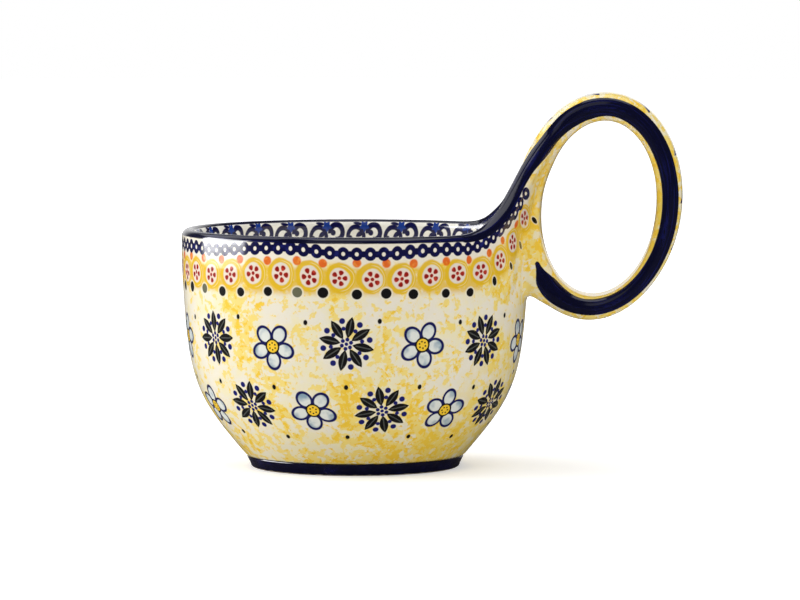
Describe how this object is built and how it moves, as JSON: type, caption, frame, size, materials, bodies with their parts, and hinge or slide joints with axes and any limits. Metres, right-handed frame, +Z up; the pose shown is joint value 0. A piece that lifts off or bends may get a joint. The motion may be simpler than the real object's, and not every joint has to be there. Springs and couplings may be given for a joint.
{
  "type": "soup mug",
  "caption": "Round-bellied stoneware soup mug with a folk-painted glaze, a low foot ring, and a tall oval loop handle that grows out of one side of its rim.",
  "frame": {"origin": "on the surface that the mug stands on, under the middle of its bounding box", "axes": "+X from the bowl towards the handle, +Z up, +Y away from the viewer who sees the handle on the right"},
  "size_m": [0.1718, 0.119, 0.1287],
  "materials": {
    "painted_glaze": "clear gloss glaze over cream stoneware with stamped and sponged underglaze colours",
    "cobalt_glaze": "clear gloss glaze over a brushed dark cobalt band, bare fired clay on the standing face",
    "fired_slip": "fired joining slip, unglazed"
  },
  "bodies": {
    "root": {"bowl": "painted_glaze", "handle": "painted_glaze", "foot_ring": "cobalt_glaze", "foot_slip": "fired_slip", "root_slip": "fired_slip", "wall_slip": "fired_slip"}
  },
  "joints": []
}
